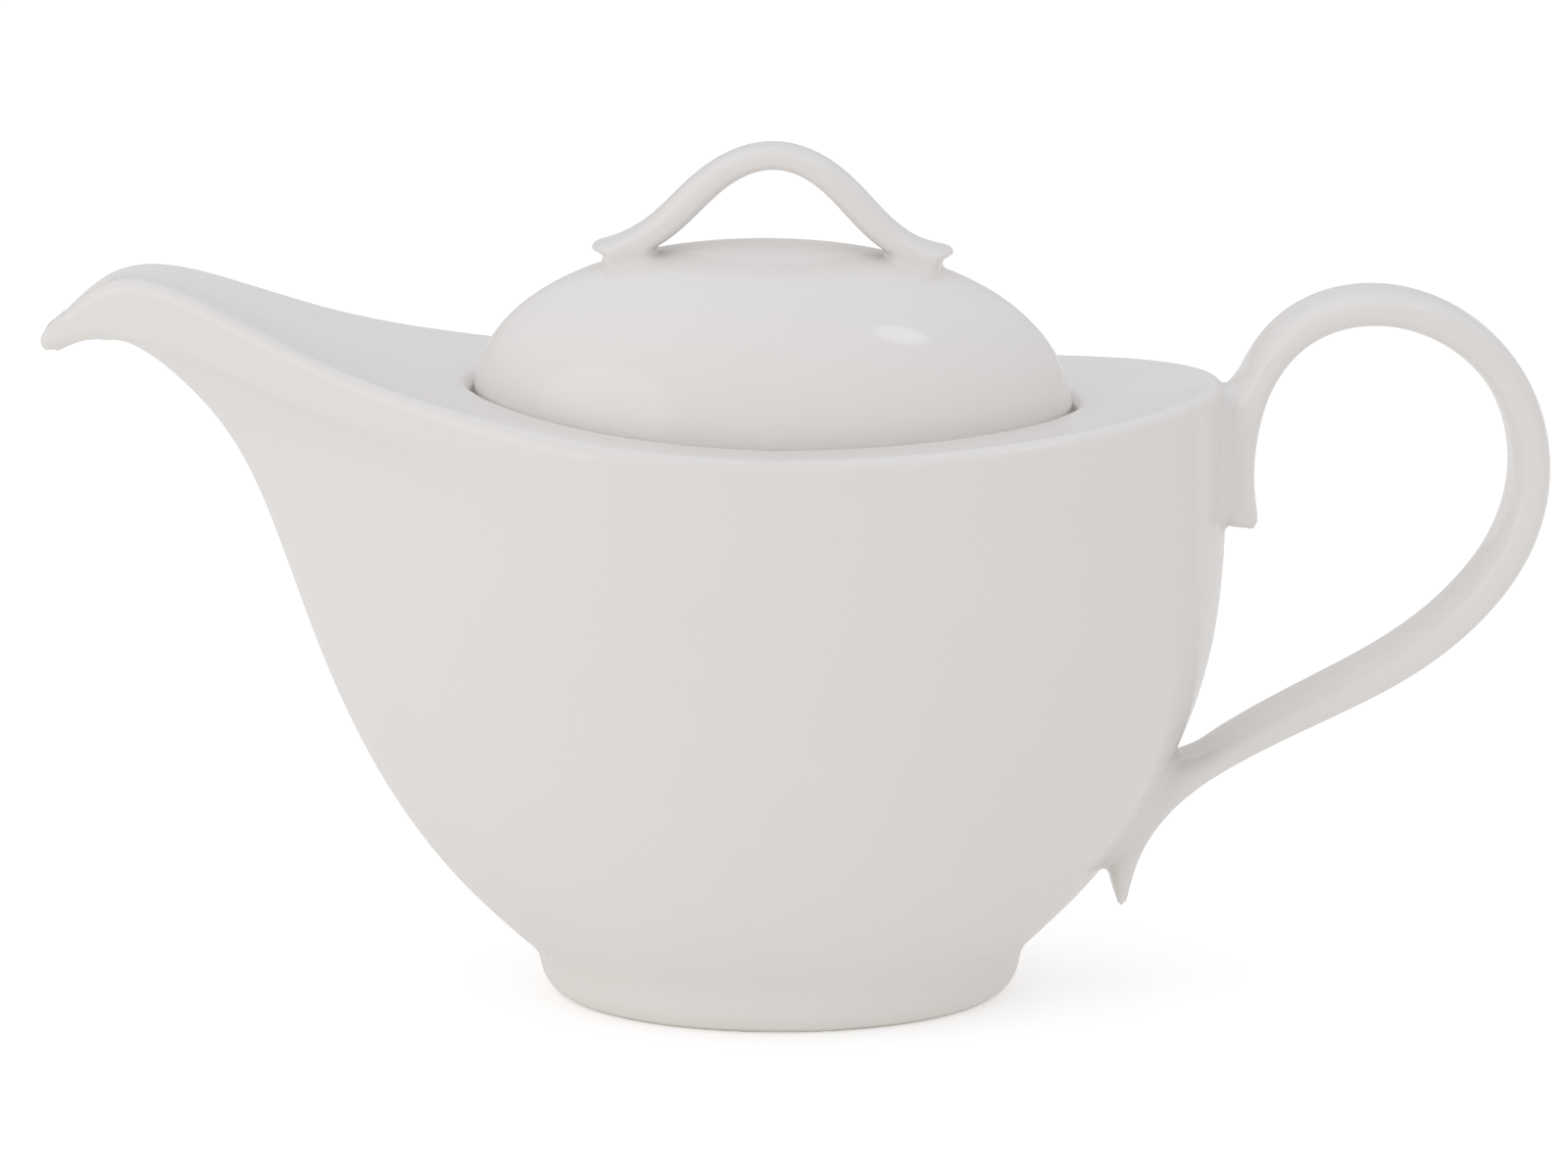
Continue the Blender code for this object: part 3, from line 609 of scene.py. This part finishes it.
def melt(thing, body, reaches):
    """Remeshes a solid evenly, lays it back on its exact surface, and softens its creases.

    reaches is a function from crease points, and whether each is convex, to how far from it the
    surface is softened.
    """
    voxel = MM * VOXEL[body]
    rounds = SMOOTHING[body]
    exact = thing.copy()
    exact.data = thing.data.copy()
    bpy.context.scene.collection.objects.link(exact)
    remesh = thing.modifiers.new("Even", "REMESH")
    remesh.mode = "VOXEL"
    remesh.voxel_size = voxel
    wrap = thing.modifiers.new("Exact", "SHRINKWRAP")
    wrap.target = exact
    wrap.wrap_method = "NEAREST_SURFACEPOINT"
    apply_modifiers(thing)
    creases, convex = crease_points(exact.data, CREASE_ANGLE, voxel)
    bpy.data.objects.remove(exact)
    tree = KDTree(len(creases))
    for i, point in enumerate(creases):
        tree.insert(point, i)
    tree.balance()
    points = coordinates(thing.data)
    near = [tree.find(point)[1:] for point in points]
    index = np.array([n[0] for n in near])
    distance = np.array([n[1] for n in near])
    share = np.clip(1 - distance / reaches(creases, convex)[index], 0, 1)
    weight = (share * share * (3 - 2 * share))[:, None]
    edges = np.empty(len(thing.data.edges) * 2, np.int32)
    thing.data.edges.foreach_get("vertices", edges)
    a, b = edges.reshape(-1, 2).T
    active = weight[:, 0] > 0
    kept = active[a] | active[b]
    a, b = a[kept], b[kept]
    valence = np.bincount(a, minlength=len(points)) + np.bincount(b, minlength=len(points))
    valence = np.maximum(valence, 1)[:, None]
    for _ in range(rounds):
        total = np.zeros_like(points)
        for axis in range(3):
            total[:, axis] = np.bincount(a, points[b, axis], len(points))
            total[:, axis] += np.bincount(b, points[a, axis], len(points))
        points += weight * (total / valence - points)
    thing.data.vertices.foreach_set("co", points.ravel())
    thing.data.update()
    thing.data.shade_smooth()


def pot_skin():
    """Bowl, deck, spout, handle and foot as one skin."""
    pot = pot_solid("pot_skin")
    low_edge = LEDGE_DEPTH + LEDGE_THICK
    ledge = [
        deck_oval(THROAT - 2.0, low_edge),
        deck_oval(OPENING + 4.0, low_edge),
        deck_oval(OPENING + 5.0, low_edge - 2.0),
        deck_oval(OPENING + 5.0, 2.0),
        deck_oval(THROAT - 2.0, 2.0),
    ]
    seat = [
        deck_oval(THROAT, 30.0),
        deck_oval(THROAT, LEDGE_DEPTH),
        deck_oval(OPENING, LEDGE_DEPTH),
        deck_oval(OPENING, -30.0),
    ]
    grip = strap(
        "grip", HANDLE_LINE, HANDLE_WIDTH, HANDLE_THICK, HANDLE_CUTS, HANDLE_ROOTS, 420, 72
    )
    steps = [
        ("UNION", grip),
        ("UNION", foot_solid()),
        ("DIFFERENCE", cavity("cavity")),
        ("UNION", loop_solid("ledge", ledge, "ring")),
        ("DIFFERENCE", loop_solid("seat", seat)),
        ("DIFFERENCE", scoop("mouth", MOUTH_POINT, MOUTH_NORMAL, MOUTH, MOUTH_DEPTH, 20.0)),
    ]
    combined(pot, steps)
    melt(pot, "pot", pot_reaches)
    return pot


def pot_reaches(points, convex):
    """How far each crease of the pot is softened: most where foot and strap join the wall."""
    x = (points[:, 0] - LID_AXIS_X) / MM
    z = points[:, 2] / MM
    reach = np.where(convex, EDGE_REACH, JOINT_REACH)
    reach[x < -100] = SPOUT_REACH
    at_seat = np.hypot(x / OPENING[0], points[:, 1] / MM / OPENING[1]) < 1.05
    reach[at_seat & (z > 90)] = SEAT_REACH
    reach[z < 12] = FOOT_REACH
    reach[z < 1.0] = BASE_REACH
    return reach * MM


def lid_skin():
    """Dome, collar and bow as one skin."""
    dome = loop_solid("lid_skin", dome_outside())
    inner = COLLAR - COLLAR_WALL
    shares = np.append(np.linspace(0, 1, 40)[:-1], 0.999)
    hollow = dome_loops(inner, LID_TOP - LID_WALL, 1.0, shares)
    hollow = [deck_oval(inner, COLLAR_DROP + 4.0)] + hollow
    collar = [
        deck_oval(COLLAR, 1.0),
        deck_oval(inner - 1.0, 1.0),
        deck_oval(inner - 1.0, COLLAR_DROP),
        deck_oval(COLLAR, COLLAR_DROP),
    ]
    bow = strap("bow", BOW_LINE, BOW_WIDTH, BOW_THICK, BOW_CUTS, BOW_ROOTS, 200, 72)
    up = np.array([0.0, 0.0, 1.0])
    top = np.array([0.0, VENT_BEHIND, LID_TOP])
    steps = [
        ("UNION", bow),
        ("UNION", loop_solid("collar", collar, "ring")),
        ("DIFFERENCE", loop_solid("hollow", hollow)),
        ("DIFFERENCE", scoop("vent", top, up, (VENT, VENT), 14.0, 9.0, 48, 6)),
    ]
    combined(dome, steps)
    melt(dome, "lid", lid_reaches)
    return dome


def lid_reaches(points, convex):
    """How far each crease of the lid is softened: most where the bow joins the dome."""
    under_bow = points[:, 2] / MM > LID_TOP - 12
    reach = np.where(under_bow, BOW_REACH, LID_JOINT_REACH)
    return np.where(convex, LID_EDGE_REACH, reach) * MM


# ---------------------------------------------------------------- materials
def feed(links, value, socket):
    """Links an output to an input, or sets the input where the value is a constant."""
    if isinstance(value, bpy.types.NodeSocket):
        links.new(value, socket)
    else:
        socket.default_value = value


def porcelain(name, bare_below=None):
    """White porcelain under a clear glaze, with its faint clouds and ripples.

    bare_below is the height up to which the piece stands in the kiln without glaze.
    """
    material = bpy.data.materials.new(name)
    material.use_nodes = True
    nodes, links = material.node_tree.nodes, material.node_tree.links
    shader = nodes["Principled BSDF"]
    place = nodes.new("ShaderNodeTexCoord")

    def noise(scale, detail):
        texture = nodes.new("ShaderNodeTexNoise")
        texture.inputs["Scale"].default_value = scale
        texture.inputs["Detail"].default_value = detail
        links.new(place.outputs["Object"], texture.inputs["Vector"])
        return texture.outputs["Fac"]

    def spread(value, from_range, to_range):
        node = nodes.new("ShaderNodeMapRange")
        node.inputs["From Min"].default_value, node.inputs["From Max"].default_value = from_range
        node.inputs["To Min"].default_value, node.inputs["To Max"].default_value = to_range
        links.new(value, node.inputs["Value"])
        return node.outputs["Result"]

    def blended(share, low, high):
        node = nodes.new("ShaderNodeMix")
        node.data_type = "RGBA"
        links.new(share, node.inputs["Factor"])
        feed(links, low, node.inputs["A"])
        feed(links, high, node.inputs["B"])
        return node.outputs["Result"]

    glaze = blended(spread(noise(CLOUDS, 3.0), NOISE_MIDDLE, (0, 1)), GLAZE_DEEP, GLAZE_THIN)
    gloss = spread(noise(GLOSS, 2.0), NOISE_MIDDLE, GLAZE_ROUGHNESS)
    coat = COAT
    if bare_below is not None:
        height = nodes.new("ShaderNodeSeparateXYZ")
        links.new(place.outputs["Object"], height.inputs["Vector"])
        wobble = spread(noise(WOBBLE, 2.0), NOISE_MIDDLE, (-BARE_EDGE / 2, BARE_EDGE / 2))
        level = nodes.new("ShaderNodeMath")
        level.operation = "ADD"
        links.new(height.outputs["Z"], level.inputs[0])
        links.new(wobble, level.inputs[1])
        edge = (bare_below, bare_below + BARE_EDGE)
        glazed = spread(level.outputs["Value"], edge, (0, 1))
        body = blended(spread(noise(GRAIN, 2.0), NOISE_MIDDLE, (0, 1)), BISQUE_DEEP, BISQUE_THIN)
        glaze = blended(glazed, body, glaze)
        gloss_or_bare = nodes.new("ShaderNodeMix")
        links.new(glazed, gloss_or_bare.inputs["Factor"])
        gloss_or_bare.inputs["A"].default_value = BISQUE_ROUGHNESS
        links.new(gloss, gloss_or_bare.inputs["B"])
        gloss = gloss_or_bare.outputs["Result"]
        coat = spread(level.outputs["Value"], edge, (0, coat))
    feed(links, glaze, shader.inputs["Base Color"])
    feed(links, gloss, shader.inputs["Roughness"])
    feed(links, coat, shader.inputs["Coat Weight"])
    ripple = nodes.new("ShaderNodeBump")
    ripple.inputs["Strength"].default_value = RIPPLE_STRENGTH
    ripple.inputs["Distance"].default_value = RIPPLE_DEPTH
    links.new(noise(RIPPLE, 1.0), ripple.inputs["Height"])
    links.new(ripple.outputs["Normal"], shader.inputs["Normal"])
    shader.inputs["IOR"].default_value = GLAZE_IOR
    shader.inputs["Specular IOR Level"].default_value = GLAZE_SPECULAR
    shader.inputs["Coat Roughness"].default_value = COAT_ROUGHNESS
    return material


def dress(thing, material):
    thing.data.materials.clear()
    thing.data.materials.append(material)


# ---------------------------------------------------------------- the stage
def floor():
    """A floor that is seen as white, and that lights the pot as a pale grey one would."""
    far = FLOOR_SIZE
    corners = [(-far, -far, 0), (far, -far, 0), (far, far, 0), (-far, far, 0)]
    mesh = bpy.data.meshes.new("floor")
    mesh.from_pydata(corners, [], [(0, 1, 2, 3)])
    thing = bpy.data.objects.new("floor", mesh)
    bpy.context.scene.collection.objects.link(thing)
    material = bpy.data.materials.new("floor_white")
    material.use_nodes = True
    nodes, links = material.node_tree.nodes, material.node_tree.links
    shader = nodes["Principled BSDF"]
    shader.inputs["Base Color"].default_value = FLOOR_SEEN
    shader.inputs["Roughness"].default_value = 0.9
    shader.inputs["Specular IOR Level"].default_value = 0.0
    shader.inputs["Emission Color"].default_value = (1.0, 1.0, 1.0, 1.0)
    shader.inputs["Emission Strength"].default_value = FLOOR_SEEN_GLOW
    grey = nodes.new("ShaderNodeBsdfDiffuse")
    grey.inputs["Color"].default_value = FLOOR_AS_LIGHT
    glow = nodes.new("ShaderNodeEmission")
    glow.inputs["Color"].default_value = FLOOR_AS_LIGHT
    glow.inputs["Strength"].default_value = FLOOR_GLOW
    lit = nodes.new("ShaderNodeAddShader")
    links.new(grey.outputs["BSDF"], lit.inputs[0])
    links.new(glow.outputs["Emission"], lit.inputs[1])
    path = nodes.new("ShaderNodeLightPath")
    mix = nodes.new("ShaderNodeMixShader")
    links.new(path.outputs["Is Camera Ray"], mix.inputs["Fac"])
    links.new(lit.outputs["Shader"], mix.inputs[1])
    links.new(shader.outputs["BSDF"], mix.inputs[2])
    links.new(mix.outputs["Shader"], nodes["Material Output"].inputs["Surface"])
    mesh.materials.append(material)


def area_light(name, place, target, size, power, colour):
    data = bpy.data.lights.new(name, "AREA")
    data.shape = "DISK"
    data.size = size
    data.energy = power
    data.color = colour
    light = bpy.data.objects.new(name, data)
    light.location = place
    light.rotation_euler = (Vector(target) - light.location).to_track_quat("-Z", "Y").to_euler()
    bpy.context.scene.collection.objects.link(light)


def studio():
    """Soft light from all round, warm from the sides and cooler from above, and two lamps."""
    world = bpy.data.worlds.new("studio")
    bpy.context.scene.world = world
    world.use_nodes = True
    nodes, links = world.node_tree.nodes, world.node_tree.links
    nodes.clear()
    direction = nodes.new("ShaderNodeTexCoord")
    axes = nodes.new("ShaderNodeSeparateXYZ")
    links.new(direction.outputs["Generated"], axes.inputs["Vector"])
    ramp = nodes.new("ShaderNodeValToRGB")
    ramp.color_ramp.elements[0].position = 0.0
    ramp.color_ramp.elements[0].color = ROOM_SIDES
    ramp.color_ramp.elements[1].position = 0.9
    ramp.color_ramp.elements[1].color = ROOM_ABOVE
    links.new(axes.outputs["Z"], ramp.inputs["Fac"])
    room = nodes.new("ShaderNodeBackground")
    links.new(ramp.outputs["Color"], room.inputs["Color"])
    white = nodes.new("ShaderNodeBackground")
    white.inputs["Color"].default_value = (1.0, 1.0, 1.0, 1.0)
    path = nodes.new("ShaderNodeLightPath")
    mix = nodes.new("ShaderNodeMixShader")
    links.new(path.outputs["Is Camera Ray"], mix.inputs["Fac"])
    links.new(room.outputs["Background"], mix.inputs[1])
    links.new(white.outputs["Background"], mix.inputs[2])
    out = nodes.new("ShaderNodeOutputWorld")
    links.new(mix.outputs["Shader"], out.inputs["Surface"])
    area_light("key", *KEY)
    area_light("lamp", *LAMP)
    bpy.context.scene.view_settings.view_transform = "Standard"


def camera():
    """The viewpoint: 1.1 m in front of the pot and about 0.3 m up, looking slightly down."""
    data = bpy.data.cameras.new("camera")
    data.sensor_width = 36.0
    data.lens = LENS
    thing = bpy.data.objects.new("camera", data)
    thing.location = (LID_AXIS_X + CAMERA_PLACE[0], *CAMERA_PLACE[1:])
    thing.rotation_euler = (math.radians(90 - CAMERA_DOWN), 0.0, 0.0)
    bpy.context.scene.collection.objects.link(thing)
    bpy.context.scene.camera = thing


camera()
studio()
floor()

pot_glaze = porcelain("pot_porcelain", BARE_BELOW)
lid_glaze = porcelain("lid_porcelain")

pot = pot_skin()
dress(pot, pot_glaze)
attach(pot, "pot")
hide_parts("pot_body", "spout", "handle", "foot_ring")

lid = lid_skin()
dress(lid, lid_glaze)
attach(lid, "lid")
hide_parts("lid_dome", "lid_collar", "lid_bow")

dress(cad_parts["spout_strainer"], pot_glaze)
